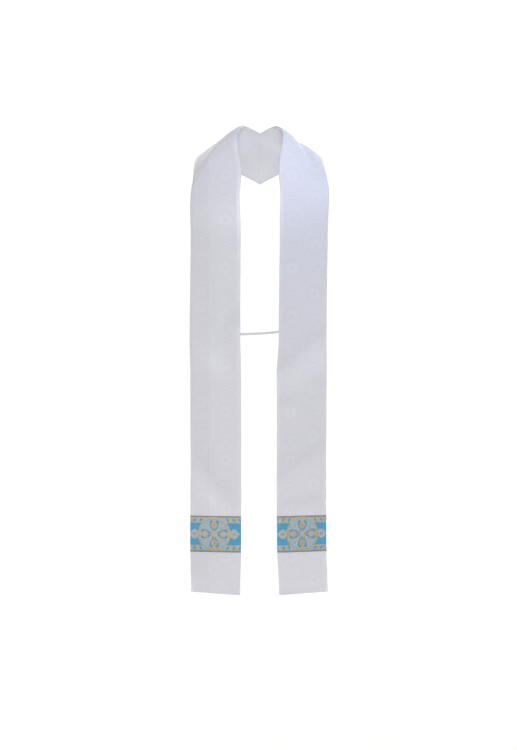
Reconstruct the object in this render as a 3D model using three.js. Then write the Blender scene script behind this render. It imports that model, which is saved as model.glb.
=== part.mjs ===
// A priest's stole in the form it takes when worn: two straight-cut halves that meet in a mitred seam at the
// centre back, lie over the shoulders and hang straight down in front, where a short tape links them.
// Millimetres. +Z is up and the front faces -Y. The origin is the middle of the neck, at shoulder height.
// Left and right are the wearer's, so the left half hangs on the +X side.
import * as THREE from "three";

// The cut of one half. Places on it are given as u, across from the inner edge, and v, up from the hem.
const stripWidth = 130;
const clothThickness = 2;
const hemRise = 4;
const seamGap = 0.3;

// Where the hanging part is: the plane of its inner edge, and the height of the hem's inner corner.
const frontDepth = -63;
const hemHeight = -1164;

// The woven band on each half, and the tape that links the halves behind their inner edges.
const bandBottom = 107;
const bandHeight = 90;
const bandThickness = 1;
const tapeWidth = 6.5;
const tapeThickness = 0.8;
const tapeSewnLength = 12;
const tapeSag = 1.5;

// Soft bends, from the hem up. Each is spread between two straight lines across the strip, and a line is
// given by where it crosses the inner and the outer edge.
const bends = [
  { name: "chest", innerFrom: 888, outerFrom: 903, innerTo: 1023, outerTo: 998, angle: 18 },
  { name: "shoulder front", innerFrom: 1153, outerFrom: 1016, innerTo: 1191, outerTo: 1120, angle: 39 },
  { name: "shoulder back", innerFrom: 1191, outerFrom: 1120, innerTo: 1236, outerTo: 1204, angle: 88 },
];
const degreesPerStep = 4;

// A fold's profile: how sharply it falls off across, and how much of its length keeps the full height.
const foldFalloff = 4;
const foldReach = 1.6;

// How far the cloth gives sideways on the bias to pass the side of the neck.
const sideways = [
  { at: 900, shift: 0 },
  { at: 1038, shift: 8 },
  { at: 1178, shift: 33 },
];

// hang: how each half hangs, by the distance of its inner edge from the middle and the turn of its face.
// folds: soft ridges (height above 0) and troughs (below 0) along a line from one place to another.
const halves = [
  {
    name: "left",
    side: 1,
    tapeAt: 657,
    hang: [
      { at: 0, inner: 48, turn: 18 },
      { at: 140, inner: 42.5, turn: 16 },
      { at: 540, inner: 42.5, turn: 14 },
      { at: 650, inner: 47.5, turn: 20 },
      { at: 920, inner: 50, turn: 20 },
      { at: 1030, inner: 49, turn: 16 },
      { at: 1110, inner: 46.5, turn: 18 },
      { at: 1200, inner: 46.5, turn: 15.5 },
    ],
    folds: [
      { name: "over the band", fromU: 10, fromV: 212, toU: 118, toV: 232, width: 26, height: -2 },
      { name: "low slant", fromU: 12, fromV: 300, toU: 122, toV: 372, width: 30, height: -3 },
      { name: "middle spot", fromU: 15, fromV: 460, toU: 45, toV: 485, width: 26, height: -1.5 },
      { name: "chest slant", fromU: 72, fromV: 620, toU: 112, toV: 652, width: 26, height: -2.5 },
      { name: "collar", fromU: 50, fromV: 1196, toU: 94, toV: 1085, width: 30, height: -7 },
      { name: "upper back", fromU: 25, fromV: 1285, toU: 112, toV: 1238, width: 34, height: -4 },
    ],
  },
  {
    name: "right",
    side: -1,
    tapeAt: 651,
    hang: [
      { at: 0, inner: 50, turn: 16 },
      { at: 140, inner: 47, turn: 8.5 },
      { at: 540, inner: 47.5, turn: 10 },
      { at: 650, inner: 50, turn: 11 },
      { at: 920, inner: 48.5, turn: 12 },
      { at: 1120, inner: 46.5, turn: 15.5 },
    ],
    folds: [
      { name: "low inner", fromU: 15, fromV: 312, toU: 55, toV: 342, width: 28, height: -2 },
      { name: "low outer", fromU: 78, fromV: 322, toU: 120, toV: 352, width: 30, height: -2.5 },
      { name: "chest slant", fromU: 22, fromV: 600, toU: 62, toV: 640, width: 28, height: -2.5 },
      { name: "collar", fromU: 12, fromV: 1195, toU: 95, toV: 1095, width: 26, height: 4 },
      { name: "upper back", fromU: 30, fromV: 1278, toU: 104, toV: 1246, width: 30, height: -3 },
    ],
  },
];

// Steps of the cloth's grid: across the strip, and up it from the hem.
const columns = 10;
const rowSteps = [
  { name: "hem", from: 0, to: bandBottom, rows: 4 },
  { name: "band", from: bandBottom, to: bandBottom + bandHeight, rows: 4 },
  { name: "hanging part", from: bandBottom + bandHeight, to: 880, rows: 24 },
  { name: "chest", from: 880, to: 1020, rows: 10 },
  { name: "shoulder", from: 1020, to: 1236, rows: 26 },
];
const mitreRows = 6;
const mitreFrom = 1236;
const seamTolerance = 1e-6;

const damask = new THREE.MeshStandardMaterial({ color: 0xe9eaf3, roughness: 0.62, metalness: 0 });
const wovenBand = new THREE.MeshStandardMaterial({ color: 0x4a9fce, roughness: 0.5, metalness: 0.1 });
const plainTape = new THREE.MeshStandardMaterial({ color: 0xf0f2f6, roughness: 0.7, metalness: 0 });

// A value from a table's column at a place along the strip, eased from row to row.
function valueAt(rows, column, at) {
  const next = rows.findIndex((row) => row.at > at);
  if (next === 0) return rows[0][column];
  if (next < 0) return rows[rows.length - 1][column];
  const [low, high] = [rows[next - 1], rows[next]];
  const part = THREE.MathUtils.smoothstep(at, low.at, high.at);
  return THREE.MathUtils.lerp(low[column], high[column], part);
}

// Height of the soft folds at a place: round across, and fading out towards both ends.
function foldHeight(folds, u, v) {
  const place = new THREE.Vector2(u, v);
  let height = 0;
  for (const fold of folds) {
    const from = new THREE.Vector2(fold.fromU, fold.fromV);
    const along = new THREE.Vector2(fold.toU, fold.toV).sub(from);
    const offset = place.clone().sub(from);
    const part = offset.dot(along) / along.lengthSq();
    const across = offset.cross(along) / along.length() / fold.width;
    const lengthwise = (part - 0.5) * foldReach;
    height += fold.height * Math.exp(-foldFalloff * across ** 2 - lengthwise ** 4);
  }
  return height;
}

// Rolls a point of the flat strip over one bend: a turn about each line that lies below its place (u, v).
function rollOver(point, bend, u, v) {
  const steps = Math.ceil(bend.angle / degreesPerStep);
  const turn = -THREE.MathUtils.degToRad(bend.angle) / steps;
  for (let step = steps - 1; step >= 0; step -= 1) {
    const part = (step + 0.5) / steps;
    const inner = THREE.MathUtils.lerp(bend.innerFrom, bend.innerTo, part);
    const outer = THREE.MathUtils.lerp(bend.outerFrom, bend.outerTo, part);
    if (v <= THREE.MathUtils.lerp(inner, outer, u / stripWidth)) continue;
    const start = new THREE.Vector3(valueAt(sideways, "shift", inner), inner, 0);
    const end = new THREE.Vector3(stripWidth + valueAt(sideways, "shift", outer), outer, 0);
    const axis = end.sub(start).normalize();
    point.sub(start).applyAxisAngle(axis, turn).add(start);
  }
}

// Where a place (u, v) of the cut lies when worn. out is the distance in front of the cloth's face.
function wornPlace(half, u, v, out) {
  const shift = valueAt(sideways, "shift", v);
  const point = new THREE.Vector3(u + shift, v, out + foldHeight(half.folds, u, v));
  for (let i = bends.length - 1; i >= 0; i -= 1) rollOver(point, bends[i], u, v);
  const turn = THREE.MathUtils.degToRad(valueAt(half.hang, "turn", v));
  const across = valueAt(half.hang, "inner", v) + point.x * Math.cos(turn) + point.z * Math.sin(turn);
  const depth = frontDepth + point.x * Math.sin(turn) - point.z * Math.cos(turn);
  return new THREE.Vector3(half.side * across, depth, hemHeight + point.y);
}

// How far up the strip it meets the centre back, found by halving.
function seamPlace(half, u, out) {
  let low = mitreFrom;
  let high = mitreFrom + 2 * stripWidth;
  while (high - low > seamTolerance) {
    const middle = (low + high) / 2;
    if (wornPlace(half, u, middle, out).x * half.side > seamGap / 2) low = middle;
    else high = middle;
  }
  return low;
}

// The places of the panel's rows: straight across up to the mitre, and from there turned towards the seam.
function panelRows(half, u, out) {
  const places = [];
  for (const { from, to, rows } of rowSteps) {
    for (let i = 0; i < rows; i += 1) places.push(THREE.MathUtils.lerp(from, to, i / rows));
  }
  places[0] = (hemRise * u) / stripWidth;
  const seam = seamPlace(half, u, out);
  for (let i = 0; i <= mitreRows; i += 1) {
    places.push(THREE.MathUtils.lerp(mitreFrom, seam, i / mitreRows));
  }
  return places;
}

function bandRows() {
  const { from, to, rows } = rowSteps.find((step) => step.name === "band");
  return Array.from({ length: rows + 1 }, (_, i) => THREE.MathUtils.lerp(from, to, i / rows));
}

// A closed wall between two like grids of points, face and back, given as rows of points.
function wallGeometry(face, back, mirrored) {
  const height = face.length;
  const width = face[0].length;
  const points = [...face.flat(), ...back.flat()];
  const faceAt = (row, column) => row * width + column;
  const backAt = (row, column) => height * width + row * width + column;
  const index = [];
  const quad = (a, b, c, d) => {
    if (mirrored) index.push(a, c, b, a, d, c);
    else index.push(a, b, c, a, c, d);
  };
  for (let r = 0; r < height - 1; r += 1) {
    for (let c = 0; c < width - 1; c += 1) {
      quad(faceAt(r, c), faceAt(r, c + 1), faceAt(r + 1, c + 1), faceAt(r + 1, c));
      quad(backAt(r, c), backAt(r + 1, c), backAt(r + 1, c + 1), backAt(r, c + 1));
    }
    const last = width - 1;
    quad(faceAt(r, 0), faceAt(r + 1, 0), backAt(r + 1, 0), backAt(r, 0));
    quad(faceAt(r, last), backAt(r, last), backAt(r + 1, last), faceAt(r + 1, last));
  }
  for (let c = 0; c < width - 1; c += 1) {
    const last = height - 1;
    quad(faceAt(0, c), backAt(0, c), backAt(0, c + 1), faceAt(0, c + 1));
    quad(faceAt(last, c), faceAt(last, c + 1), backAt(last, c + 1), backAt(last, c));
  }
  const geometry = new THREE.BufferGeometry().setFromPoints(points);
  geometry.setIndex(index);
  geometry.computeVertexNormals();
  return geometry;
}

// A wall on one half, between two distances in front of the cloth's face. rowsAt gives its rows at a column.
function clothWall(half, rowsAt, faceOut, backOut) {
  const layer = (out) => {
    const lines = [];
    for (let c = 0; c <= columns; c += 1) {
      const u = (stripWidth * c) / columns;
      lines.push(rowsAt(half, u, out).map((v) => wornPlace(half, u, v, out)));
    }
    return lines[0].map((_, row) => lines.map((line) => line[row]));
  };
  return wallGeometry(layer(faceOut), layer(backOut), half.side < 0);
}

function panel(half) {
  const mesh = new THREE.Mesh(clothWall(half, panelRows, 0, -clothThickness), damask);
  mesh.name = half.name + "_panel";
  return mesh;
}

function band(half) {
  const geometry = clothWall(half, bandRows, seamGap + bandThickness, seamGap);
  const mesh = new THREE.Mesh(geometry, wovenBand);
  mesh.name = half.name + "_band";
  return mesh;
}

// The tape lies flat on the back of each half at its sewn ends and runs free between the inner edges.
function linkTape() {
  const behind = -(clothThickness + seamGap + tapeThickness / 2);
  const sewnSteps = [1, 0.6, 0.25];
  const sewn = (half) => sewnSteps.map((part) => wornPlace(half, part * tapeSewnLength, half.tapeAt, behind));
  const [left, right] = halves;
  const leftEnd = sewn(left);
  const rightEnd = sewn(right).reverse();
  const [from, to] = [leftEnd[leftEnd.length - 1], rightEnd[0]];
  const free = [];
  const freeSteps = 10;
  for (let i = 1; i < freeSteps; i += 1) {
    const part = i / freeSteps;
    const point = from.clone().lerp(to, part);
    point.z -= tapeSag * 4 * part * (1 - part);
    free.push(point);
  }
  const line = [...leftEnd, ...free, ...rightEnd];
  const up = new THREE.Vector3(0, 0, tapeWidth / 2);
  const layer = (out) => line.map((point, i) => {
    const next = line[Math.min(i + 1, line.length - 1)];
    const along = next.clone().sub(line[Math.max(i - 1, 0)]);
    const outwards = new THREE.Vector3(-along.y, along.x, 0).setLength(1);
    const middle = point.clone().addScaledVector(outwards, out);
    return [middle.clone().sub(up), middle.clone().add(up)];
  });
  const geometry = wallGeometry(layer(tapeThickness / 2), layer(-tapeThickness / 2), false);
  const mesh = new THREE.Mesh(geometry, plainTape);
  mesh.name = "link_tape";
  return mesh;
}

const group = new THREE.Group();
for (const half of halves) {
  group.add(panel(half));
  group.add(band(half));
}
group.add(linkTape());

export default group;
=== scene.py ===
import math
import bmesh
import bpy
import numpy as np
from mathutils import Matrix, Vector


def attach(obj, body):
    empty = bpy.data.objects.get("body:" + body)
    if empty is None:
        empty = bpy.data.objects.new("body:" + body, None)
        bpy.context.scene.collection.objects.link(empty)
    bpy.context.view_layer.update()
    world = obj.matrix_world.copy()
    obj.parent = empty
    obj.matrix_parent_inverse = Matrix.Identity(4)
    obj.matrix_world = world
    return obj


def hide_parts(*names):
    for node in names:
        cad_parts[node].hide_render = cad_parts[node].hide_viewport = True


# A priest's stole of white damask as it hangs when worn: two halves sewn together at the centre back,
# a blue and gold woven band near each end, and a short tape that links the halves.
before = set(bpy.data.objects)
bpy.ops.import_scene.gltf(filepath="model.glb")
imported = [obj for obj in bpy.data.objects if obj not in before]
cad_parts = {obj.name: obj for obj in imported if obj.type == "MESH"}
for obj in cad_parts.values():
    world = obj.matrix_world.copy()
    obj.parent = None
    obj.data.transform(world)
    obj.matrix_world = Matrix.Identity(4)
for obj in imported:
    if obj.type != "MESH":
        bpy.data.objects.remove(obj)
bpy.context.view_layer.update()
print("frame loaded:", sorted(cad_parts))


def addObject(name, data):
    placed = bpy.data.objects.new(name, data)
    bpy.context.scene.collection.objects.link(placed)
    return placed


# Camera and light
viewing = {
    "cameraPlace": (-0.00375, -4.048, -0.615),
    "distance": 4.0,       # from the camera to the plane of the inner edges
    "heightSeen": 1.875,   # how much of that plane the frame shows
    "sensor": 24.0,
}
camera = bpy.data.cameras.new("camera")
camera.sensor_fit = "VERTICAL"
camera.sensor_height = viewing["sensor"]
camera.lens = viewing["sensor"] * viewing["distance"] / viewing["heightSeen"]
cameraObject = addObject("camera", camera)
cameraObject.location = viewing["cameraPlace"]
cameraObject.rotation_euler = (math.radians(90), 0, 0)
bpy.context.scene.camera = cameraObject
bpy.context.scene.view_settings.view_transform = "Standard"

lights = [  # soft boxes: where each stands, what it faces, its side in metres, its power, colour and spread
    {"name": "leftBox", "place": (-2.8, -2.2, -0.1), "faces": (0, 0, -0.6), "side": 1.8, "power": 10,
     "colour": "fffcf8", "spread": 180},
    {"name": "rightBox", "place": (2.8, -2.0, 0.3), "faces": (0, 0, -0.6), "side": 1.8, "power": 12,
     "colour": "dfe6ff", "spread": 180},
    {"name": "daylight", "place": (1.5, -0.75, 0.8), "faces": (0.14, -0.02, 0.05), "side": 0.4, "power": 0.41,
     "colour": "59aaff", "spread": 34},
    {"name": "backLeft", "place": (-1.8, 2.4, 1.5), "faces": (0, 0, -0.3), "side": 1.6, "power": 20,
     "colour": "ffffff", "spread": 180},
    {"name": "backRight", "place": (1.8, 2.4, 1.5), "faces": (0, 0, -0.3), "side": 1.6, "power": 20,
     "colour": "ffffff", "spread": 180},
    {"name": "floorLeft", "place": (-2.2, 0.8, 0.0), "faces": (-0.5, 2.2, -1.55), "side": 1.4, "power": 90,
     "colour": "ffffff", "spread": 120},
    {"name": "floorRight", "place": (2.2, 0.8, 0.0), "faces": (0.5, 2.2, -1.55), "side": 1.4, "power": 90,
     "colour": "ffffff", "spread": 120},
]
overhead = {"from": (0, -1, 0.47), "strength": 2.3, "angle": 22, "colour": "fffffd"}  # soft light from above
shoulderSpot = {"place": (1.5, -0.75, 0.8), "faces": (0.14, -0.03, 0.0), "cone": 13, "radius": 0.1, "power": 26,
                "colour": "fbfbff"}


def linear(hexColour):
    parts = [int(hexColour[i:i + 2], 16) / 255 for i in (0, 2, 4)]
    return [p / 12.92 if p <= 0.04045 else ((p + 0.055) / 1.055) ** 2.4 for p in parts] + [1.0]


def standLight(lamp, place, faces):
    lampObject = addObject(lamp.name, lamp)
    lampObject.location = place
    lampObject.rotation_euler = (Vector(faces) - Vector(place)).to_track_quat("-Z", "Y").to_euler()


for light in lights:
    lamp = bpy.data.lights.new(light["name"], "AREA")
    lamp.size = light["side"]
    lamp.energy = light["power"]
    lamp.color = linear(light["colour"])[:3]
    lamp.spread = math.radians(light["spread"])
    standLight(lamp, light["place"], light["faces"])

sun = bpy.data.lights.new("overhead", "SUN")
sun.energy = overhead["strength"]
sun.angle = math.radians(overhead["angle"])
sun.color = linear(overhead["colour"])[:3]
standLight(sun, overhead["from"], (0, 0, 0))

spot = bpy.data.lights.new("shoulder", "SPOT")
spot.energy = shoulderSpot["power"]
spot.spot_size = math.radians(shoulderSpot["cone"])
spot.spot_blend = 1
spot.shadow_soft_size = shoulderSpot["radius"]
spot.color = linear(shoulderSpot["colour"])[:3]
standLight(spot, shoulderSpot["place"], shoulderSpot["faces"])

# The studio's white surroundings give only a little light, so the folds still show
surroundings = {"colour": "ffffff", "light": 0.25, "seen": 1.05}
world = bpy.data.worlds.new("studio")
bpy.context.scene.world = world
world.use_nodes = True
background = world.node_tree.nodes["Background"]
background.inputs["Color"].default_value = linear(surroundings["colour"])
rays = world.node_tree.nodes.new("ShaderNodeLightPath")
strength = world.node_tree.nodes.new("ShaderNodeMapRange")
strength.inputs["To Min"].default_value = surroundings["light"]
strength.inputs["To Max"].default_value = surroundings["seen"]
world.node_tree.links.new(rays.outputs["Is Camera Ray"], strength.inputs["Value"])
world.node_tree.links.new(strength.outputs["Result"], background.inputs["Strength"])
print("camera and lights placed:", len(lights) + 2)

# The worn shape, in millimetres: the cut and the bends are the part's own, with softer folds and rolled edges.
# Pieces are modelled flat on the cut as (u, v, out): across from the inner edge, up from the hem, and out in
# front of the face.
cut = {
    "width": 130, "wall": 2, "hemRise": 4,
    "frontDepth": -63, "hemHeight": -1164, "mitreFrom": 1236,
}
bends = [  # where each starts and ends along the inner and the outer edge, and its angle in degrees
    {"innerFrom": 888, "outerFrom": 903, "innerTo": 1023, "outerTo": 998, "angle": 18},
    {"innerFrom": 1153, "outerFrom": 1016, "innerTo": 1191, "outerTo": 1120, "angle": 39},
    {"innerFrom": 1191, "outerFrom": 1120, "innerTo": 1236, "outerTo": 1204, "angle": 88},
]
degreesPerStep = 1.5
sideways = {"at": [900, 1038, 1178], "shift": [0, 8, 33]}
foldShape = {"falloff": 4, "reach": 1.6}  # how fast a fold fades to its sides, and towards its ends
halves = [
    {
        "name": "left", "side": 1, "tapeAt": 657, "medallionAt": 65.6, "repeatFrom": (34, 94),
        "hang": {
            "at": [0, 140, 540, 650, 920, 1030, 1110, 1200],
            "inner": [48, 42.5, 42.5, 47.5, 50, 49, 46.5, 46.5],
            "turn": [18, 16, 14, 20, 20, 16, 18, 15.5],
        },
        "folds": [  # from (u, v), to (u, v), width above, width below, height
            (10, 205, 118, 227, 40, 60, -2.6), (6, 286, 118, 360, 42, 110, -4.2), (15, 460, 45, 485, 36, 50, -1.6),
            (4, 545, 112, 640, 52, 90, -4.4), (50, 1196, 94, 1085, 30, 30, -7), (25, 1285, 112, 1238, 34, 34, -4),
        ],
        "bow": {
            "at": [0, 200, 480, 600, 760, 1000, 1200],
            "depth": [1, 1.5, 3, 1, 3, 1, 0],
        },
    },
    {
        "name": "right", "side": -1, "tapeAt": 651, "medallionAt": 67.9, "repeatFrom": (39, 96),
        "hang": {
            "at": [0, 140, 540, 650, 920, 1120],
            "inner": [50, 47, 47.5, 50, 48.5, 46.5],
            "turn": [16, 8.5, 10, 11, 12, 15.5],
        },
        "folds": [
            (40, 225, 118, 340, 50, 70, -4), (6, 690, 62, 588, 46, 90, -4),
            (12, 1195, 95, 1095, 26, 26, 4), (30, 1278, 104, 1246, 30, 30, -3),
        ],
        "bow": {
            "at": [0, 140, 330, 480, 600, 700, 800, 1000, 1100, 1200],
            "depth": [3, 3, 4.5, 2, 0.5, 3, 5, 5, 2, 0],
        },
    },
]
bowFrom = 45  # the part of each half beyond this turns back a little, as it goes round the chest
edges = {  # the seam allowance and hem inside the edges, their soft roll, and the slight pull of the edge seams
    "allowance": 9, "hem": 28, "raise": 0.3, "slope": 3, "roll": 1.5, "rollReach": 7,
    "pucker": 0.25, "puckerReach": 7, "innerPucker": 0.4,
    "pulls": [(0.5, 2.9, 0), (0.7, 4.3, 1.3), (0.6, 7.7, 0.4)],  # waves along the seam: share, length, phase
}
seamHalvings = 28  # steps in the search for the seam's place at the centre back
sharpAngle = 40    # in degrees: faces that meet at more than this stay sharp
cornerAngle = 1    # in radians: the edges round a cut strip turn by more than this


def eased(part):
    part = np.clip(part, 0, 1)
    return part * part * (3 - 2 * part)


def valueAt(table, column, at):
    places, values = np.array(table["at"], float), np.array(table[column], float)
    low = np.clip(np.searchsorted(places, at, side="right") - 1, 0, len(places) - 2)
    part = eased((at - places[low]) / (places[low + 1] - places[low]))
    return values[low] + (values[low + 1] - values[low]) * part


def foldHeight(folds, u, v):
    height = np.zeros(len(u))
    for fromU, fromV, toU, toV, above, below, tall in folds:
        alongU, alongV = toU - fromU, toV - fromV
        length = math.hypot(alongU, alongV)
        part = ((u - fromU) * alongU + (v - fromV) * alongV) / length ** 2
        across = ((u - fromU) * alongV - (v - fromV) * alongU) / length
        across = across / np.where(across < 0, above, below)
        lengthwise = (part - 0.5) * foldShape["reach"]
        height += tall * np.exp(-foldShape["falloff"] * across ** 2 - lengthwise ** 4)
    return height


def bowDepth(half, u, v):
    part = np.clip((u - bowFrom) / (cut["width"] - bowFrom), 0, 1)
    return valueAt(half["bow"], "depth", v) * part ** 2


def edgeHeight(u, v, out):
    fromOuter = cut["width"] - u
    allowance = eased((edges["allowance"] + edges["slope"] - np.minimum(u, fromOuter)) / edges["slope"])
    hem = eased((edges["hem"] + edges["slope"] - v) / edges["slope"])
    height = edges["raise"] * np.maximum(allowance, hem) * (out > -cut["wall"] / 2)
    height -= edges["roll"] * np.exp(-(np.minimum(np.minimum(u, fromOuter), v) / edges["rollReach"]) ** 2)
    pull = sum(share * np.sin(v / length + phase) for share, length, phase in edges["pulls"])
    reach = np.exp(-fromOuter / edges["puckerReach"]) + edges["innerPucker"] * np.exp(-u / edges["puckerReach"])
    return height + edges["pucker"] * pull * reach


def rollOver(points, bend, u, v):  # turns what lies above each line of a bend about that line
    steps = math.ceil(bend["angle"] / degreesPerStep)
    turn = -math.radians(bend["angle"]) / steps
    for step in reversed(range(steps)):
        part = (step + 0.5) / steps
        inner = bend["innerFrom"] + (bend["innerTo"] - bend["innerFrom"]) * part
        outer = bend["outerFrom"] + (bend["outerTo"] - bend["outerFrom"]) * part
        above = v > inner + (outer - inner) * u / cut["width"]
        start = np.array([valueAt(sideways, "shift", inner), inner, 0])
        end = np.array([cut["width"] + valueAt(sideways, "shift", outer), outer, 0])
        rotation = np.array(Matrix.Rotation(turn, 3, Vector(end - start).normalized()))
        points[above] = (points[above] - start) @ rotation.T + start


def wornPlaces(half, u, v, out):  # metres
    out = out + foldHeight(half["folds"], u, v) - bowDepth(half, u, v) + edgeHeight(u, v, out)
    points = np.stack([u + valueAt(sideways, "shift", v), v, out], axis=1)
    for bend in reversed(bends):
        rollOver(points, bend, u, v)
    turn = np.radians(valueAt(half["hang"], "turn", v))
    across = valueAt(half["hang"], "inner", v) + points[:, 0] * np.cos(turn) + points[:, 2] * np.sin(turn)
    depth = cut["frontDepth"] + points[:, 0] * np.sin(turn) - points[:, 2] * np.cos(turn)
    return np.stack([half["side"] * across, depth, cut["hemHeight"] + points[:, 1]], axis=1) / 1000


def seamPlaces(half, u, out):  # how far up the strip it meets the centre back, by halving
    low = np.full(len(u), float(cut["mitreFrom"]))
    high = low + 2 * cut["width"]
    for _ in range(seamHalvings):
        middle = (low + high) / 2
        short = wornPlaces(half, u, middle, out)[:, 0] * half["side"] > 0
        low, high = np.where(short, middle, low), np.where(short, high, middle)
    return low


def wear(bm, half):  # each vertex keeps its place on the cut for the materials, and moves to its worn place
    flat = np.array([vert.co for vert in bm.verts])
    worn = wornPlaces(half, flat[:, 0], flat[:, 1], flat[:, 2])
    onCut = bm.verts.layers.float_vector.new("cut")
    for vert, place in zip(bm.verts, worn):
        vert[onCut] = vert.co
        vert.co = place
    if half["side"] < 0:
        bmesh.ops.reverse_faces(bm, faces=bm.faces)


def makePiece(name, bm, materials):
    mesh = bpy.data.meshes.new(name)
    bm.to_mesh(mesh)
    bm.free()
    mesh.polygons.foreach_set("use_smooth", [True] * len(mesh.polygons))
    mesh.set_sharp_from_angle(angle=math.radians(sharpAngle))
    for material in materials:
        mesh.materials.append(material)
    piece = addObject(name, mesh)
    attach(piece, "root")
    return piece


def thicken(bm, rise):  # makes a flat sheet or flat figures solid
    copied = bmesh.ops.extrude_face_region(bm, geom=bm.faces[:])["geom"]
    raised = [item for item in copied if isinstance(item, bmesh.types.BMVert)]
    bmesh.ops.translate(bm, verts=raised, vec=(0, 0, rise))
    bmesh.ops.recalc_face_normals(bm, faces=bm.faces)


def flatStrip(bm, start, end, columns, rows, height=0):  # from one corner to the one across
    bmesh.ops.create_grid(bm, x_segments=columns, y_segments=rows, size=0.5)
    bmesh.ops.translate(bm, verts=bm.verts, vec=(0.5, 0.5, 0))
    bmesh.ops.scale(bm, verts=bm.verts, vec=(end[0] - start[0], end[1] - start[1], 1))
    bmesh.ops.translate(bm, verts=bm.verts, vec=(*start, height))


def roundOff(bm, rim, radius, segments):
    bmesh.ops.bevel(bm, geom=rim, offset=radius, offset_type="OFFSET", affect="EDGES", segments=segments,
                    profile=0.5, material=-1)


def cutAlong(bm, place, normal, **options):
    everything = bm.verts[:] + bm.edges[:] + bm.faces[:]
    bmesh.ops.bisect_plane(bm, geom=everything, plane_co=place, plane_no=normal, **options)


# Materials. Patterns read the place on the cut in millimetres, so they follow the cloth.
def addNode(tree, kind, settings=None, links=None):
    node = tree.nodes.new("ShaderNode" + kind)
    for name, value in (settings or {}).items():
        setattr(node, name, value)
    for socket, source in (links or {}).items():
        if isinstance(source, bpy.types.NodeSocket):
            tree.links.new(source, node.inputs[socket])
        else:
            node.inputs[socket].default_value = source
    return node


def newMaterial(name):
    material = bpy.data.materials.new(name)
    material.use_nodes = True
    material.node_tree.nodes.clear()
    return material


def setRamp(node, stops):
    ramp = node.color_ramp
    while len(ramp.elements) > 1:
        ramp.elements.remove(ramp.elements[-1])
    ramp.elements[0].position, ramp.elements[0].color = stops[0][0], [stops[0][1]] * 3 + [1]
    for position, value in stops[1:]:
        ramp.elements.new(position).color = [value] * 3 + [1]


waveScale = 0.31416  # a wave texture's scale for lines one millimetre apart

damaskWeave = {
    "dark": "c2c1c8", "light": "cfced6",  # painted sheen and painted shade of the figure's lines; the ground is halfway between
    "darkRoughness": 0.6, "lightRoughness": 0.25,
    "repeat": (122, 120),   # two columns of ovals, each half a repeat below the other
    "oval": (35.3, 59.5),   # half width and half height: neighbours just touch
    "ovalLines": [  # distance from the middle, and how light: 0.5 is the ground, above it painted sheen, below it painted shade
        (0, 0.5), (0.875, 0.5), (0.89, 1), (0.92, 1), (0.935, 0), (0.96, 0), (0.975, 0.8), (0.99, 0.8), (1, 0.5),
    ],
    "circle": 38,           # the radius the circle's and the rosette's lines are measured by
    "circleLines": [
        (0, 0.5), (0.52, 0.5), (0.54, 0.1), (0.56, 0.1), (0.58, 1), (0.61, 1), (0.625, 0.2), (0.65, 0.2), (0.67, 0.5),
    ],
    "rosetteLines": [
        (0, 1), (0.06, 1), (0.09, 0.2), (0.14, 0.3), (0.18, 0.75), (0.34, 0.75), (0.4, 0.35), (0.48, 0.5),
    ],
    "petals": 8, "scallop": 0.12,
    "lattice": (5.2, 31),   # the spacing and slant of the lines between the ovals
    "latticeFrom": 1.05,    # where they start, in sizes of an oval
    "latticeLine": {"From Min": 0.6, "From Max": 0.95, "To Min": -0.2, "To Max": 0.5},   # how wide and how light
    "beyondJoin": 0.975,    # a second width of the cloth takes the light a little differently
    "thread": 0.9,          # drawn coarser than the real 0.15 mm, which would not show
    "satinSlant": 35,       # of the ground's threads, in degrees
    "waver": 0.4,           # how unevenly the threads lie
    "relief": 0.00012, "figureRelief": 0.8, "bump": 0.5,   # relief in metres, the figure's as a share of it
    "slub": {"Scale": 0.03, "Detail": 6.0, "Roughness": 0.72},   # uneven yarn, in patches of about 33 mm
    "figureShows": {"From Min": 0.35, "From Max": 0.65, "To Min": 0.3},   # the figure's painted sheen and shade are fainter in some patches than in others
    "shade": {"To Min": 0.97, "To Max": 1.03},
    "sheen": 0.25, "sheenRoughness": 0.4, "ior": 1.6,
}
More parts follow.
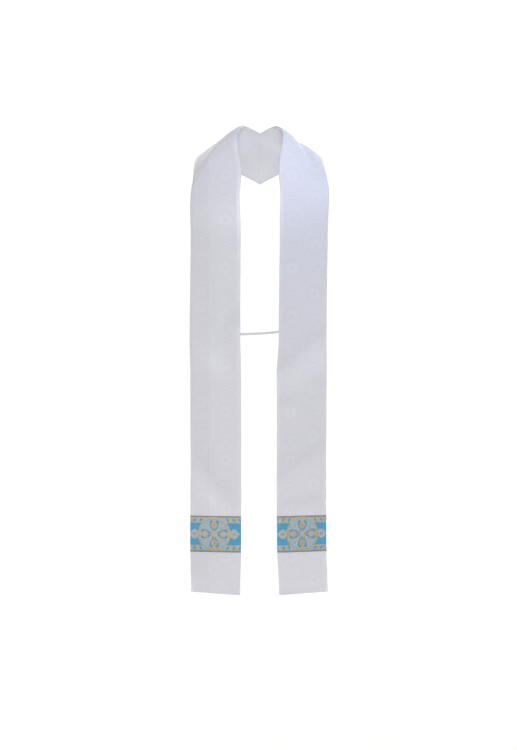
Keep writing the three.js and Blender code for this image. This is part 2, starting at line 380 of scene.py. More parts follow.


# Polyester satin damask: its figure shows as thin lines of painted sheen and painted shade, a little lighter or
# darker, that also shine differently
def damaskMaterial():
    look = damaskWeave
    material = newMaterial("satin damask")
    tree = material.node_tree
    place = addNode(tree, "Attribute", {"attribute_name": "repeat"}).outputs["Vector"]
    figures, reaches = [], []
    for shift in (0, 0.5):  # the two columns of ovals
        cells = addNode(tree, "VectorMath", {"operation": "DIVIDE"}, {0: place, 1: (*look["repeat"], 1)})
        moved = addNode(tree, "VectorMath", {"operation": "ADD"},
                        {0: cells.outputs[0], 1: (shift, shift, 0)})
        inCell = addNode(tree, "VectorMath", {"operation": "FRACTION"}, {0: moved.outputs[0]})
        centred = addNode(tree, "VectorMath", {"operation": "SUBTRACT"},
                          {0: inCell.outputs[0], 1: (0.5, 0.5, 0)})
        local = addNode(tree, "VectorMath", {"operation": "MULTIPLY"},
                        {0: centred.outputs[0], 1: (*look["repeat"], 0)})
        oval = addNode(tree, "VectorMath", {"operation": "DIVIDE"},
                       {0: local.outputs[0], 1: (*look["oval"], 1)})
        ovalReach = addNode(tree, "VectorMath", {"operation": "LENGTH"}, {0: oval.outputs[0]})
        reaches.append(ovalReach.outputs["Value"])
        ovalLines = addNode(tree, "ValToRGB", links={"Fac": ovalReach.outputs["Value"]})
        setRamp(ovalLines, look["ovalLines"])
        parts = addNode(tree, "SeparateXYZ", links={0: local.outputs[0]})
        angle = addNode(tree, "Math", {"operation": "ARCTAN2"},
                        {0: parts.outputs[1], 1: parts.outputs[0]})
        manifold = addNode(tree, "Math", {"operation": "MULTIPLY"},
                           {0: angle.outputs[0], 1: look["petals"]})
        petal = addNode(tree, "Math", {"operation": "COSINE"}, {0: manifold.outputs[0]})
        scallop = addNode(tree, "Math", {"operation": "MULTIPLY_ADD"},
                          {0: petal.outputs[0], 1: -look["scallop"], 2: 1})
        reach = addNode(tree, "VectorMath", {"operation": "LENGTH"}, {0: local.outputs[0]})
        scaled = addNode(tree, "Math", {"operation": "DIVIDE"},
                         {0: reach.outputs["Value"], 1: look["circle"]})
        circle = addNode(tree, "ValToRGB", links={"Fac": scaled.outputs[0]})
        setRamp(circle, look["circleLines"])
        scalloped = addNode(tree, "Math", {"operation": "MULTIPLY"},
                            {0: scaled.outputs[0], 1: scallop.outputs[0]})
        rosette = addNode(tree, "ValToRGB", links={"Fac": scalloped.outputs[0]})
        setRamp(rosette, look["rosetteLines"])
        figures += [lines.outputs[0] for lines in (ovalLines, circle, rosette)]
    spacing, slant = look["lattice"]
    nearest = addNode(tree, "Math", {"operation": "MINIMUM"}, {0: reaches[0], 1: reaches[1]})
    between = addNode(tree, "Math", {"operation": "GREATER_THAN"},
                      {0: nearest.outputs[0], 1: look["latticeFrom"]})
    for degrees in (-slant, slant):
        leaning = addNode(tree, "VectorRotate", {"rotation_type": "Z_AXIS"},
                          {"Vector": place, "Angle": math.radians(degrees)})
        rows = addNode(tree, "TexWave", {"wave_type": "BANDS", "bands_direction": "X"},
                       {"Vector": leaning.outputs[0], "Scale": waveScale / spacing})
        thin = addNode(tree, "MapRange", links={0: rows.outputs["Fac"], **look["latticeLine"]})
        inside = addNode(tree, "Math", {"operation": "MULTIPLY_ADD"},
                         {0: thin.outputs[0], 1: between.outputs[0], 2: 0.5})
        figures.append(inside.outputs[0])
    total = figures[0]
    for drawn in figures[1:]:
        total = addNode(tree, "Math", {"operation": "ADD"}, {0: total, 1: drawn}).outputs[0]
    middle = len(figures) / 2
    figure = addNode(tree, "MapRange", links={0: total, 1: middle - 0.5, 2: middle + 0.5}).outputs[0]
    leaning = addNode(tree, "VectorRotate", {"rotation_type": "Z_AXIS"},
                      {"Vector": place, "Angle": math.radians(look["satinSlant"])})
    threading = {"Scale": waveScale / look["thread"], "Distortion": look["waver"]}
    warp = addNode(tree, "TexWave", {"wave_type": "BANDS", "bands_direction": "X"},
                   {"Vector": leaning.outputs[0], **threading})
    weft = addNode(tree, "TexWave", {"wave_type": "BANDS", "bands_direction": "Y"},
                   {"Vector": place, **threading})
    threads = addNode(tree, "Mix", {"data_type": "FLOAT"},
                      {0: figure, 2: warp.outputs["Fac"], 3: weft.outputs["Fac"]})
    height = addNode(tree, "Math", {"operation": "MULTIPLY_ADD"},
                     {0: figure, 1: look["figureRelief"], 2: threads.outputs[0]})
    bump = addNode(tree, "Bump",
                   links={"Height": height.outputs[0], "Strength": look["bump"], "Distance": look["relief"]})
    slub = addNode(tree, "TexNoise", links={"Vector": place, **look["slub"]})
    shown = addNode(tree, "MapRange", links={0: slub.outputs["Fac"], **look["figureShows"]})
    signed = addNode(tree, "Math", {"operation": "SUBTRACT"}, {0: figure, 1: 0.5})
    paintedSheenAndShade = addNode(tree, "Math", {"operation": "MULTIPLY_ADD"},
                    {0: signed.outputs[0], 1: shown.outputs[0], 2: 0.5})
    # painted sheen and painted shade: the figure's lines are coloured a little lighter or darker than the ground
    colour = addNode(tree, "Mix", {"data_type": "RGBA"},
                     {0: paintedSheenAndShade.outputs[0], 6: linear(look["dark"]), 7: linear(look["light"])})
    shade = addNode(tree, "MapRange", links={0: slub.outputs["Fac"], **look["shade"]})
    width = addNode(tree, "SeparateXYZ", links={0: place})
    beyond = addNode(tree, "MapRange", links={0: width.outputs[2], 3: 1.0, 4: look["beyondJoin"]})
    tone = addNode(tree, "Math", {"operation": "MULTIPLY"}, {0: shade.outputs[0], 1: beyond.outputs[0]})
    tinted = addNode(tree, "VectorMath", {"operation": "SCALE"},
                     {0: colour.outputs[2], "Scale": tone.outputs[0]})
    dull = addNode(tree, "MapRange",
                   links={0: figure, 3: look["darkRoughness"], 4: look["lightRoughness"]})
    shader = addNode(tree, "BsdfPrincipled",
                     links={"Base Color": tinted.outputs[0], "Roughness": dull.outputs[0], "IOR": look["ior"],
                            "Sheen Weight": look["sheen"], "Sheen Roughness": look["sheenRoughness"],
                            "Normal": bump.outputs[0]})
    addNode(tree, "OutputMaterial", links={"Surface": shader.outputs[0]})
    return material


plainWeave = {
    "waver": 0.3, "bump": 0.6,
    "uneven": {"Scale": 0.35, "Detail": 4.0}, "unevenShare": 0.5,   # dye and yarn vary every 3 mm or so
}


# Plain weave in one colour of yarn, ribbed along u or v, with painted shade where the threads sink
def wovenMaterial(look):
    material = newMaterial(look["material"])
    tree = material.node_tree
    place = addNode(tree, "Attribute", {"attribute_name": "cut"}).outputs["Vector"]
    warp = addNode(tree, "TexWave", {"wave_type": "BANDS", "bands_direction": "X"},
                   {"Vector": place, "Scale": waveScale / look["warp"], "Distortion": plainWeave["waver"]})
    weft = addNode(tree, "TexWave", {"wave_type": "BANDS", "bands_direction": "Y"},
                   {"Vector": place, "Scale": waveScale / look["weft"], "Distortion": plainWeave["waver"]})
    cloth = addNode(tree, "Math", {"operation": "MULTIPLY"},
                    {0: warp.outputs["Fac"], 1: weft.outputs["Fac"]})
    uneven = addNode(tree, "TexNoise", links={"Vector": place, **plainWeave["uneven"]})
    mixed = addNode(tree, "Math", {"operation": "MULTIPLY_ADD"},
                    {0: uneven.outputs["Fac"], 1: plainWeave["unevenShare"], 2: cloth.outputs[0]})
    # painted shade: the deeper colour sits where the threads sink between each other, and in uneven patches of dye
    colour = addNode(tree, "Mix", {"data_type": "RGBA"},
                     {0: mixed.outputs[0], 6: linear(look["deepAndShade"]), 7: linear(look["colour"])})
    bump = addNode(tree, "Bump",
                   links={"Height": cloth.outputs[0], "Strength": plainWeave["bump"], "Distance": look["relief"]})
    shader = addNode(tree, "BsdfPrincipled",
                     links={"Base Color": colour.outputs[2], "Roughness": look["roughness"],
                            "Metallic": look["metallic"], "Sheen Weight": look["sheen"], "Normal": bump.outputs[0]})
    addNode(tree, "OutputMaterial", links={"Surface": shader.outputs[0]})
    return material


yarns = {  # warp and weft are spacings in mm, two to three times the real ones, which would not show
    # each yarn's second, deeper colour shows between the threads and in uneven patches: partly a deeper tone of the
    # yarn (for the selvedge its grey), partly painted shade
    # polyester satin lining: smooth and a little shiny
    "lining": {
        "material": "polyester satin lining", "colour": "d8d8de", "deepAndShade": "cbcbd3",
        "warp": 0.7, "weft": 1.1, "relief": 0.00006, "roughness": 0.5, "metallic": 0, "sheen": 0.15,
    },
    # rayon yarn of the band, with a silky lustre
    "blue": {
        "material": "blue rayon yarn", "colour": "4498be", "deepAndShade": "3186ae",
        "warp": 0.8, "weft": 1.2, "relief": 0.0001, "roughness": 0.5, "metallic": 0, "sheen": 0.1,
    },
    "lightBlue": {
        "material": "light blue rayon yarn", "colour": "8cb1cb", "deepAndShade": "74a0bf",
        "warp": 0.8, "weft": 1.2, "relief": 0.0001, "roughness": 0.5, "metallic": 0, "sheen": 0.1,
    },
    # metallised polyester thread: soft metal glints between the turns of the yarn
    "gold": {
        "material": "metallised gold thread", "colour": "dcbd83", "deepAndShade": "a68a58",
        "warp": 1.1, "weft": 0.9, "relief": 0.00018, "roughness": 0.42, "metallic": 0.5, "sheen": 0,
    },
    # gold thread over grey, which makes the band's dark and slightly glinting selvedge
    "selvedge": {
        "material": "grey and gold selvedge yarn", "colour": "a29d8d", "deepAndShade": "585a54",
        "warp": 1.4, "weft": 1.3, "relief": 0.0002, "roughness": 0.55, "metallic": 0.1, "sheen": 0,
    },
    # cotton tape, plain and matt
    "tape": {
        "material": "cotton tape", "colour": "d4d4d9", "deepAndShade": "bebec4",
        "warp": 1.2, "weft": 0.8, "relief": 0.0001, "roughness": 0.8, "metallic": 0, "sheen": 0.1,
    },
}
damask = damaskMaterial()
woven = {name: wovenMaterial(look) for name, look in yarns.items()}
print("materials made:", len(woven) + 1)

# The two halves: damask in front and turned round the edges, a lining behind
panel = {
    "columns": 44, "rows": 380, "length": 1336, "hemBlend": 14, "rollRadius": 0.95, "rollSegments": 4,
    "liningInset": 4,
}
# the faint seam where a second width of damask was joined on, whose repeat doesn't quite meet the first's
join = {"half": "right", "at": 81.7, "from": 196, "to": 960, "gap": 0.5, "depth": 0.35, "phase": 34}


def makePanel(half):
    bm = bmesh.new()
    flatStrip(bm, (0, 0), (cut["width"], panel["length"]), panel["columns"], panel["rows"])
    joined = half["name"] == join["half"]
    if joined:
        for u in (join["at"] - join["gap"], join["at"], join["at"] + join["gap"]):
            cutAlong(bm, (u, 0, 0), (1, 0, 0))
    thicken(bm, -cut["wall"])
    corners = [edge for edge in bm.edges if edge.calc_face_angle() > cornerAngle]
    rim = [edge for edge in corners if abs(edge.verts[0].co.z - edge.verts[1].co.z) < cut["wall"] / 2]
    roundOff(bm, rim, panel["rollRadius"], panel["rollSegments"])
    for face in bm.faces:
        middle = face.calc_center_median()
        inset = min(middle.x, cut["width"] - middle.x, middle.y)
        if face.normal.z < -0.5 and inset > panel["liningInset"]:
            face.material_index = 1
    # the hem slants a little, and the other end is mitred
    for vert in bm.verts:
        vert.co.y += cut["hemRise"] * vert.co.x / cut["width"] * max(0, 1 - vert.co.y / panel["hemBlend"])
    end = [vert for vert in bm.verts if vert.co.y > cut["mitreFrom"]]
    flat = np.array([vert.co for vert in end])
    for vert, top in zip(end, seamPlaces(half, flat[:, 0], flat[:, 2])):
        part = (vert.co.y - cut["mitreFrom"]) / (panel["length"] - cut["mitreFrom"])
        vert.co.y = cut["mitreFrom"] + (top - cut["mitreFrom"]) * part
    # the damask's repeat, which starts afresh beyond the join
    repeat = bm.verts.layers.float_vector.new("repeat")
    for vert in bm.verts:
        beyond = joined and vert.co.x > join["at"]
        phase = join["phase"] if beyond else 0
        vert[repeat] = (vert.co.x - half["repeatFrom"][0], vert.co.y - half["repeatFrom"][1] + phase, float(beyond))
        onJoin = joined and abs(vert.co.x - join["at"]) < 0.1 and join["from"] < vert.co.y < join["to"]
        if onJoin and vert.co.z > -0.1:
            vert.co.z -= join["depth"]
    wear(bm, half)
    piece = makePiece(half["name"] + "_damask", bm, [damask, woven["lining"]])
    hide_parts(half["name"] + "_panel")
    return piece


panels = {half["name"]: makePanel(half) for half in halves}
print("halves made:", [len(piece.data.polygons) for piece in panels.values()])

# The bands: woven ground, and figures in raised yarn. Places in a band are from its medallion's centre.
band = {
    "bottom": 107, "height": 90, "lift": 0.3, "top": 1.1, "cell": 5, "edgeCell": 2.5, "edgeReach": 15,
    "columns": 52, "rows": 36, "edgeRoll": 0.3, "edgeSegments": 3,
    "figureBottom": 0.9, "lightTop": 1.22, "borderTop": 1.2, "blueTop": 1.3, "heartTop": 1.36, "lineTop": 1.4,
    "goldTop": 1.5, "veinTop": 1.6, "figureMargin": 0.5, "groundMargin": 0.3,
    "selvedge": 3.6, "selvedgeTop": 1.3,
}
medallion = {
    "ring": (41.5, 42.5), "ringLine": 3.0, "ringGap": 0.7, "innerLine": 0.8,
    "petalFoot": 4.6, "footRise": 0.6, "petalLobe": (6.9, 28.2), "petalRound": (7.3, 7.9), "petalSide": 18,
    "petalLine": 0.9, "petalGap": 0.5, "bossRing": 6.6, "bossLine": 2.2, "sprigAt": 28.2,
    # lens shapes: x and y of the middle, length, width and degrees
    "diamond": (0, 12.2, 4.6, 3.6, 90), "vein": (0, 22.6, 14.4, 3.2, 90),
    "leaf": (14.2, 17.2, 8.8, 4, 0.2),   # where its foot is, length, half width, lobes and their depth
    # stars: where the middle is, radius, points and their depth
    "star": (23.4, 8.2, 9, 0.12), "starEye": (23.4, 5.4, 9, 0.06), "starHeart": (23.4, 5.8, 9, 0.06),
    "starPetals": (18, 90, 162, 234, 306), "starPetalAt": 2.9, "starPetal": (4.6, 1.7),
    "dropAt": 50.4, "drop": (10.4, 12.0), "dropTip": 2.4, "tipReach": 0.3, "dropLine": 2.1,
    "dropEye": 4.9, "dropPupil": 2.3, "pupilUnder": 0.3, "tipLeafAt": 0.9, "tipLeaf": (3.6, 3.4),
}
ringInside = medallion["ringLine"] + medallion["ringGap"] + medallion["innerLine"] / 2
border = {
    "inner": 28.3, "line": 1.3, "outerLine": 0.4, "leafAt": 35.1, "leafFrom": 34, "leafStep": 7.75, "leafCount": 5,
    "blueLeaf": (13.2, 6.8), "goldLeaf": (12.8, 5.0), "slant": 57, "leafLine": 0.8, "leafTips": 1.4,
    "arc": 4.2, "arcLine": 0.9, "overlap": 0.6,
}
leafShape = {  # how pointed a lens is, and how full and how narrow towards its end a lobed leaf is
    "lensTips": 0.4, "fullness": 0.45, "narrowing": 0.25, "firstLobe": 0.6,
}
sides = {  # how many straight pieces each outline is drawn with
    "ring": 96, "boss": 40, "eye": 32, "pupil": 24, "drop": 64, "star": 96, "lens": 16, "leaf": 48, "lobe": 12,
    "foot": 4,
}


def turned(points, degrees):
    turn = math.radians(degrees)
    return [(x * math.cos(turn) - y * math.sin(turn), x * math.sin(turn) + y * math.cos(turn)) for x, y in points]


def lens(x, y, length, width, degrees):
    flat = []
    for i in range(sides["lens"]):
        angle = math.tau * i / sides["lens"]
        fullness = abs(math.sin(angle)) ** leafShape["lensTips"]
        flat.append((length / 2 * math.cos(angle), width / 2 * math.sin(angle) * fullness))
    return [(x + along, y + across) for along, across in turned(flat, degrees)]


def ellipse(x, y, radii, less=0, count=sides["ring"]):
    angles = [math.tau * i / count for i in range(count)]
    return [(x + (radii[0] - less) * math.cos(angle), y + (radii[1] - less) * math.sin(angle)) for angle in angles]


def mirrored(right):
    return right + [(-x, y) for x, y in reversed(right[1:-1])]


def petal(less=0):  # two round lobes with a cleft between them, narrowing to a foot on the boss
    lobe, side, foot = medallion["petalLobe"], medallion["petalSide"], medallion["petalFoot"]
    wide, tall = (radius - less for radius in medallion["petalRound"])
    cleft = math.acos(-lobe[0] / wide) if wide > lobe[0] else math.pi
    right = []
    for i in range(sides["lobe"] + 1):
        angle = cleft * (1 - i / sides["lobe"])
        right.append((max(0, lobe[0] + wide * math.cos(angle)), lobe[1] + tall * math.sin(angle)))
    for i in range(1, sides["lobe"] + 1):
        t = i / sides["lobe"]
        x = (1 - t * t) * (lobe[0] + wide) + t * t * (foot - less)
        y = (1 - t) ** 2 * lobe[1] + 2 * t * (1 - t) * side + t * t * (foot + medallion["footRise"] + less)
        right.append((x, y))
    rim = math.hypot(*right[-1])
    low = math.atan2(right[-1][1], right[-1][0])
    for i in range(1, sides["foot"] + 1):
        angle = low + (math.pi / 2 - low) * i / sides["foot"]
        right.append((rim * math.cos(angle), rim * math.sin(angle)))
    return mirrored(right)


def lobedLeaf(foot, length, halfWidth, lobes, depth):
    right = []
    for i in range(sides["leaf"] + 1):
        s = i / sides["leaf"]
        body = math.sin(math.pi * s) ** leafShape["fullness"] * (1 - leafShape["narrowing"] * s)
        edge = 1 + depth * math.cos(math.tau * lobes * s + leafShape["firstLobe"])
        right.append((max(0, halfWidth * body * edge), foot + s * length))
    return mirrored(right)


def starLeaf(middle, radius, points, depth):
    outline = []
    for i in range(sides["star"]):
        angle = math.tau * i / sides["star"]
        reach = radius * (1 + depth * math.cos(points * (angle + math.pi / 2)))
        outline.append((reach * math.cos(angle), middle + reach * math.sin(angle)))
    return outline


def drop(x, less=0):  # a ring with a point on its far side
    points = []
    side = math.copysign(1, x)
    for i in range(sides["drop"]):
        angle = math.remainder(math.tau * i / sides["drop"], math.tau)
        point = medallion["dropTip"] * math.exp(-(angle / medallion["tipReach"]) ** 2)
        reach = (medallion["drop"][0] - less) * math.cos(angle) + point
        points.append((x + side * reach, (medallion["drop"][1] - less) * math.sin(angle)))
    return points


def fill(bm, outline, lift=0):  # lift keeps figures that cross from lying in one plane
    bm.faces.new([bm.verts.new((x, y, lift)) for x, y in outline])


def drawLine(bm, outer, inner, lift=0):  # a line of yarn between two outlines
    rims = []
    for outline in (outer, inner):
        verts = [bm.verts.new((x, y, lift)) for x, y in outline]
        rims += [bm.edges.new(pair) for pair in zip(verts, verts[1:] + verts[:1])]
    bmesh.ops.bridge_loops(bm, edges=rims)


def bar(fromX, toX, fromY, toY):
    low, high = sorted((fromY, toY))
    return [(fromX, low), (toX, low), (toX, high), (fromX, high)]


def borderLeaves(kind):  # where the leaves of one kind stand: blue ones (0) and gold ones (1) take turns
    for up in (-1, 1):
        for across in (-1, 1):
            for i in range(kind, border["leafCount"], 2):
                x = across * (border["leafFrom"] + border["leafStep"] * i)
                yield x, up * border["leafAt"], -across * up * border["slant"]


sprig = [  # leaves at x and y from the sprig's middle: length, width, degrees, lift
    (0, 2.2, 7.0, 3.8, 90, 0), (-3.2, 0.2, 5.6, 2.6, 130, -0.02), (3.2, 0.2, 5.6, 2.6, 50, -0.03),
    (0, -4.2, 5.6, 1.8, 90, -0.04),
]


def drawGold(bm, reach):
    ring, line, gap = medallion["ring"], medallion["ringLine"], medallion["ringGap"]
    drawLine(bm, ellipse(0, 0, ring), ellipse(0, 0, ring, line))
    drawLine(bm, ellipse(0, 0, ring, line + gap), ellipse(0, 0, ring, line + gap + medallion["innerLine"]))
    boss = [medallion["bossRing"]] * 2
    drawLine(bm, ellipse(0, 0, boss, 0, sides["boss"]), ellipse(0, 0, boss, medallion["bossLine"], sides["boss"]))
    thin, gap = medallion["petalLine"], medallion["petalGap"]
    for quarter in range(4):
        turn = 90 * quarter
        drawLine(bm, turned(petal(), turn), turned(petal(thin), turn), -0.04)
        drawLine(bm, turned(petal(thin + gap), turn), turned(petal(2 * thin + gap), turn), -0.06)
        if quarter % 2 == 0:
            fill(bm, turned(lobedLeaf(*medallion["leaf"]), turn))
        else:
            drawLine(bm, turned(starLeaf(*medallion["star"]), turn), turned(starLeaf(*medallion["starEye"]), turn))
            for degrees in medallion["starPetals"]:
                x, y = turned([(medallion["starPetalAt"], 0)], degrees)[0]
                fill(bm, turned(lens(x, y + medallion["star"][0], *medallion["starPetal"], degrees), turn), -0.05)
        fill(bm, turned(lens(*medallion["diamond"]), turn), -0.02)
        for x, y, length, width, degrees, lift in sprig:  # sprigs stand between the petals
            fill(bm, turned(lens(x, medallion["sprigAt"] + y, length, width, degrees), turn + 45), lift)
    eye, pupil = medallion["dropEye"], medallion["dropPupil"]
    tip = medallion["dropAt"] + medallion["drop"][0] + medallion["dropTip"] + medallion["tipLeafAt"]
    for side in (-1, 1):
        x = side * medallion["dropAt"]
        drawLine(bm, drop(x), drop(x, medallion["dropLine"]), -0.03)
        drawLine(bm, ellipse(x, 0, (eye, eye), 0, sides["eye"]), ellipse(x, 0, (eye, eye), eye - pupil, sides["eye"]))
        fill(bm, lens(side * tip, 0, *medallion["tipLeaf"], 0), 0.02)
    for x, y, slant in borderLeaves(1):
        fill(bm, lens(x, y, *border["goldLeaf"], slant))
    length, width = border["blueLeaf"]
    thin = border["leafLine"]
    for x, y, slant in borderLeaves(0):
        inner = lens(x, y, length - 2 * border["leafTips"] * thin, width - 2 * thin, slant)
        drawLine(bm, lens(x, y, length, width, slant), inner)


def drawBorderLines(bm, reach):
    outer = [radius + border["arc"] for radius in medallion["ring"]]
    drawLine(bm, ellipse(0, 0, outer), ellipse(0, 0, outer, border["arcLine"]))
    top = band["height"] / 2 - band["selvedge"]
    for y in (-top, -border["inner"], border["inner"], top):
        cutAlong(bm, (0, y, 0), (0, 1, 0))
    beyond = [face for face in bm.faces if not border["inner"] < abs(face.calc_center_median().y) < top]
    bmesh.ops.delete(bm, geom=beyond, context="FACES")
    wide, tall = medallion["ring"]
    meets = wide * math.sqrt(1 - (border["inner"] / tall) ** 2) - border["overlap"]
    low, high = border["inner"] - border["line"] / 2, border["inner"] + border["line"] / 2
    for up in (-1, 1):
        for fromX, toX in ((reach[0], -meets), (meets, reach[1])):
            fill(bm, bar(fromX, toX, up * low, up * high))
        fill(bm, bar(*reach, up * (top - border["outerLine"]), up * top))


def drawLight(bm, reach):
    fill(bm, ellipse(0, 0, medallion["ring"], ringInside))
    for x in (-medallion["dropAt"], medallion["dropAt"]):
        fill(bm, drop(x, medallion["dropLine"] / 2))


def drawBorderGround(bm, reach):
    for up in (-1, 1):
        fill(bm, bar(*reach, up * border["inner"], up * (band["height"] / 2 - band["selvedge"])))


def drawRingGround(bm, reach):
    ring = medallion["ring"]
    drawLine(bm, ellipse(0, 0, ring, medallion["ringLine"] / 2), ellipse(0, 0, ring, ringInside))


def drawBlue(bm, reach):
    underLine = medallion["petalLine"] * 1.5 + medallion["petalGap"]  # the middle of a petal's inner line
    for quarter in range(4):
        fill(bm, turned(petal(underLine), 90 * quarter))
    pupil = medallion["dropPupil"] + medallion["pupilUnder"]
    for x in (-medallion["dropAt"], medallion["dropAt"]):
        fill(bm, ellipse(x, 0, (pupil, pupil), 0, sides["pupil"]))
    length, width = border["blueLeaf"]
    thin = border["leafLine"]
    for x, y, slant in borderLeaves(0):
        fill(bm, lens(x, y, length - border["leafTips"] * thin, width - thin, slant))


def drawVeins(bm, reach):
    for quarter in (0, 2):
        fill(bm, turned(lens(*medallion["vein"]), 90 * quarter))


def drawStarHearts(bm, reach):
    for quarter in (1, 3):
        fill(bm, turned(starLeaf(*medallion["starHeart"]), 90 * quarter))


figures = [  # name, how it is drawn, its yarn, and how high it stands over the damask
    {"name": "ring_ground", "draw": drawRingGround, "yarn": "blue", "top": band["blueTop"]},
    {"name": "light_ground", "draw": drawLight, "yarn": "lightBlue", "top": band["lightTop"]},
    {"name": "border_ground", "draw": drawBorderGround, "yarn": "lightBlue", "top": band["borderTop"]},
    {"name": "blue_figures", "draw": drawBlue, "yarn": "blue", "top": band["blueTop"]},
    {"name": "border_lines", "draw": drawBorderLines, "yarn": "gold", "top": band["lineTop"]},
    {"name": "gold_figures", "draw": drawGold, "yarn": "gold", "top": band["goldTop"]},
    {"name": "star_hearts", "draw": drawStarHearts, "yarn": "lightBlue", "top": band["heartTop"]},
    {"name": "leaf_veins", "draw": drawVeins, "yarn": "blue", "top": band["veinTop"]},
]


def cellLines():  # where figures are cut to follow the cloth: closer together near the edges, which roll back
    near = np.arange(band["edgeCell"], band["edgeReach"], band["edgeCell"])
    return sorted({*near, *(cut["width"] - near), *range(band["cell"], cut["width"], band["cell"])})


def makeFigures(half, figure):
    bm = bmesh.new()
    inner, outer, middle = band["figureMargin"], cut["width"] - band["figureMargin"], half["medallionAt"]
    figure["draw"](bm, (inner - middle, outer - middle))
    place = (middle, band["bottom"] + band["height"] / 2, band["figureBottom"])
    bmesh.ops.translate(bm, verts=bm.verts, vec=place)
    for u, outwards in ((inner, -1), (outer, 1)):
        cutAlong(bm, (u, 0, 0), (outwards, 0, 0), clear_outer=True)
    bmesh.ops.triangulate(bm, faces=bm.faces[:])
    for u in cellLines():
        cutAlong(bm, (u, 0, 0), (1, 0, 0))
    for v in range(band["bottom"] + band["cell"], band["bottom"] + band["height"], band["cell"]):
        cutAlong(bm, (0, v, 0), (0, 1, 0))
    thicken(bm, figure["top"] - band["figureBottom"])
    wear(bm, half)
    return makePiece(half["name"] + "_" + figure["name"], bm, [woven[figure["yarn"]]])


def makeGround(half):
    bm = bmesh.new()
    inner, outer = band["groundMargin"], cut["width"] - band["groundMargin"]
    flatStrip(bm, (inner, band["bottom"]), (outer, band["bottom"] + band["height"]), band["columns"], band["rows"],
              band["lift"])
    thicken(bm, band["top"] - band["lift"])
    corners = [edge for edge in bm.edges if edge.calc_face_angle() > cornerAngle]
    rim = [edge for edge in corners if all(vert.co.z > band["lift"] + 0.1 for vert in edge.verts)]
    roundOff(bm, rim, band["edgeRoll"], band["edgeSegments"])
    wear(bm, half)
    piece = makePiece(half["name"] + "_band_ground", bm, [woven["blue"]])
    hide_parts(half["name"] + "_band")
    return piece


cording = {  # the selvedge's rounded top, with a rib every few millimetres
    "over": 0.2, "columns": 156, "rows": 6, "sunk": 0.15, "crown": 0.25, "rib": 0.12, "ribStep": 2.5, "lean": 2,
}


def makeSelvedges(half):
    bm = bmesh.new()
    highest = band["bottom"] + band["height"] - band["selvedge"]
    for fromV in (band["bottom"] - cording["over"], highest + cording["over"]):
        strip = bmesh.new()
        flatStrip(strip, (band["groundMargin"], fromV),
                  (cut["width"] - band["groundMargin"], fromV + band["selvedge"]),
                  cording["columns"], cording["rows"], band["figureBottom"])
        thicken(strip, band["selvedgeTop"] - band["figureBottom"])
        for vert in strip.verts:
            if vert.co.z > band["figureBottom"] + 0.1:
                part = (vert.co.y - fromV) / band["selvedge"]
                crown = math.sin(math.pi * part) ** 0.5 if 0 < part < 1 else 0
                rib = math.sin(vert.co.x * math.tau / cording["ribStep"] + cording["lean"] * part)
                vert.co.z += crown * (cording["crown"] + cording["rib"] * rib) - cording["sunk"]
        held = bpy.data.meshes.new("strip")
        strip.to_mesh(held)
        bm.from_mesh(held)
        bpy.data.meshes.remove(held)
        strip.free()
    wear(bm, half)
    return makePiece(half["name"] + "_selvedges", bm, [woven["selvedge"]])


stitch = {
    "length": 2.6, "step": 3.4, "width": 0.5, "height": 0.36, "inset": 3.3, "first": 3, "spare": 4, "rise": 0.05,
}


def addStitch(bm, place, size):
    shape = Matrix.Translation(place) @ Matrix.Diagonal((*size, 1))
    bmesh.ops.create_icosphere(bm, subdivisions=1, radius=1, matrix=shape)


def makeBandStitches(half):
    bm = bmesh.new()
    for v in (band["bottom"] + stitch["inset"], band["bottom"] + band["height"] - stitch["inset"]):
        for i in range(int((cut["width"] - stitch["spare"]) / stitch["step"])):
            addStitch(bm, (stitch["first"] + i * stitch["step"], v, band["selvedgeTop"] + stitch["rise"]),
                      (stitch["length"] / 2, stitch["width"] / 2, stitch["height"] / 2))
    wear(bm, half)
    return makePiece(half["name"] + "_band_stitches", bm, [woven["selvedge"]])


bands = {}
for half in halves:
    ground = makeGround(half)
    bands[half["name"]] = [ground, makeSelvedges(half), makeBandStitches(half)]
    bands[half["name"]] += [makeFigures(half, figure) for figure in figures]
    print(half["name"], "band made:", [len(piece.data.polygons) for piece in bands[half["name"]]])

# The link tape: sewn flat behind both inner edges, and nearly taut between them
tape = {
    "width": 6.5, "thickness": 0.8, "gap": 0.3, "sewn": 12, "sewnSteps": (1, 0.6, 0.25), "sag": 1.5, "freeSteps": 10,
    "smoothings": 6, "samples": 96, "columns": 6, "roll": 0.3, "rollSegments": 2,
    "stitchesFromEnd": (0.8, 3.1, 5.4), "stitchesUp": (-2, 0, 2), "stitch": (0.25, 0.8, 0.2),
}


def tapeLine():
    behind = -(cut["wall"] + tape["gap"] + tape["thickness"] / 2)
    ends = []
    u = tape["sewn"] * np.array(tape["sewnSteps"])
    for half in halves:
        ends.append(wornPlaces(half, u, np.full_like(u, half["tapeAt"]), np.full_like(u, behind)) * 1000)
    fromLeft, toRight = ends[0], ends[1][::-1]
    part = np.arange(1, tape["freeSteps"])[:, None] / tape["freeSteps"]
    free = fromLeft[-1] + (toRight[0] - fromLeft[-1]) * part
    free[:, 2] -= (tape["sag"] * 4 * part * (1 - part))[:, 0]
    line = np.concatenate([fromLeft, free, toRight])
    along = np.concatenate([[0], np.cumsum(np.linalg.norm(np.diff(line, axis=0), axis=1))])
    at = np.linspace(0, along[-1], tape["samples"])
    smooth = np.stack([np.interp(at, along, line[:, axis]) for axis in range(3)], axis=1)
    for _ in range(tape["smoothings"]):
        smooth[1:-1] = (smooth[:-2] + 2 * smooth[1:-1] + smooth[2:]) / 4
    return at, smooth


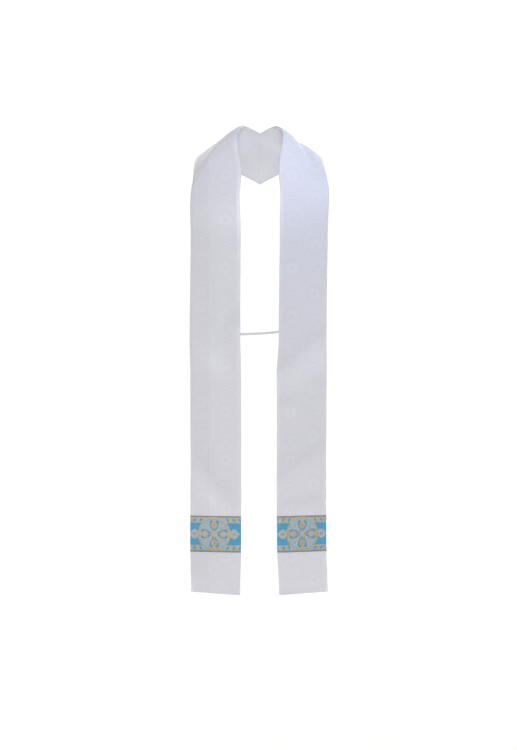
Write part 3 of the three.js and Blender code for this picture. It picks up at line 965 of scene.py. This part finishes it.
def makeTape():
    at, line = tapeLine()
    bm = bmesh.new()
    behind = -tape["thickness"] / 2
    flatStrip(bm, (0, -tape["width"] / 2), (at[-1], tape["width"] / 2), tape["samples"] - 1, tape["columns"], behind)
    thicken(bm, tape["thickness"])
    corners = [edge for edge in bm.edges if edge.calc_face_angle() > cornerAngle]
    rim = [edge for edge in corners if abs(edge.verts[0].co.x - edge.verts[1].co.x) > 0.1]
    roundOff(bm, rim, tape["roll"], tape["rollSegments"])
    stitches = len(bm.verts)
    for fromEnd in tape["stitchesFromEnd"]:
        for end in (fromEnd, at[-1] - fromEnd):
            for up in tape["stitchesUp"]:
                addStitch(bm, (end, up, behind), tape["stitch"])
    onCut = bm.verts.layers.float_vector.new("cut")
    slope = np.gradient(line, axis=0)
    for vert in bm.verts:
        here = np.array([np.interp(vert.co.x, at, line[:, axis]) for axis in range(3)])
        along = np.array([np.interp(vert.co.x, at, slope[:, axis]) for axis in range(2)])
        front = np.array([along[1], -along[0], 0]) / np.linalg.norm(along)
        front = front if front[1] < 0 else -front
        vert[onCut] = vert.co
        vert.co = (here + front * vert.co.z + np.array([0, 0, vert.co.y])) / 1000
    bmesh.ops.recalc_face_normals(bm, faces=bm.faces)
    print("tape made:", stitches, "vertices and", len(bm.verts) - stitches, "in its stitches")
    piece = makePiece("link_tape_woven", bm, [woven["tape"]])
    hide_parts("link_tape")
    return piece


tapePiece = makeTape()
# A plain pale floor
floor = {
    "height": -1.55, "width": 9, "front": -1.6, "back": 2.4,
    "colour": "d6d6d4", "grain": "d3d3d1", "grainSize": 25,   # in mm
}
bm = bmesh.new()
flatStrip(bm, (-floor["width"] / 2, floor["front"]), (floor["width"] / 2, floor["back"]), 1, 1, floor["height"])
mesh = bpy.data.meshes.new("floor")
bm.to_mesh(mesh)
bm.free()
# matt background paper, with a very faint grain
paper = newMaterial("background paper")
onFloor = addNode(paper.node_tree, "TexCoord").outputs["Object"]
grain = addNode(paper.node_tree, "TexNoise",
                links={"Vector": onFloor, "Scale": 1000 / floor["grainSize"], "Detail": 3.0})
tone = addNode(paper.node_tree, "Mix", {"data_type": "RGBA"},
               {0: grain.outputs["Fac"], 6: linear(floor["grain"]), 7: linear(floor["colour"])})
paperShader = addNode(paper.node_tree, "BsdfPrincipled",
                      links={"Base Color": tone.outputs[2], "Roughness": 0.9})
addNode(paper.node_tree, "OutputMaterial", links={"Surface": paperShader.outputs[0]})
mesh.materials.append(paper)
addObject("floor", mesh)
print("floor made")
